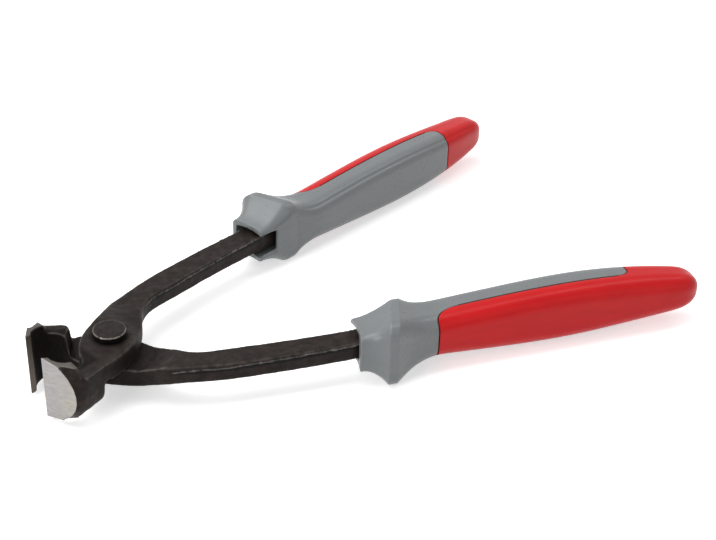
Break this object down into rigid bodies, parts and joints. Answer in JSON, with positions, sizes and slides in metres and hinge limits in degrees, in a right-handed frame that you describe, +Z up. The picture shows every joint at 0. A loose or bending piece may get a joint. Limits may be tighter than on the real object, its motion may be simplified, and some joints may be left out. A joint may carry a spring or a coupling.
{
  "type": "end cutting nippers",
  "caption": "Hand nippers whose riveted forged levers meet in wide end-cutting jaws, with guarded two-material grips.",
  "frame": {"origin": "on the table, under the middle of the nippers as they lie open", "axes": "+X from the jaws to the handles along the middle line between them, +Z up along the rivet, +Y to the side of the upper lever's handle"},
  "size_m": [0.2084, 0.1354, 0.0232],
  "materials": {
    "forged_steel": "forged steel with a warm black phosphate finish, lightly oiled",
    "rivet_steel": "blackened steel, smooth flat head",
    "grey_grip": "satin grey moulded plastic",
    "red_grip": "satin red soft plastic"
  },
  "bodies": {
    "lower_half": {"lower_lever": "forged_steel", "rivet": "rivet_steel", "lower_grip_core": "grey_grip", "lower_grip_shell": "red_grip"},
    "upper_half": {"upper_lever": "forged_steel", "upper_grip_core": "grey_grip", "upper_grip_shell": "red_grip"}
  },
  "joints": [
    {"name": "jaw_pivot", "type": "hinge", "parent": "lower_half", "child": "upper_half", "pos_m": [-0.07967, 0, 0.0116], "axis": [0, 0, 1], "range_deg": [-27.6, 22]}
  ]
}
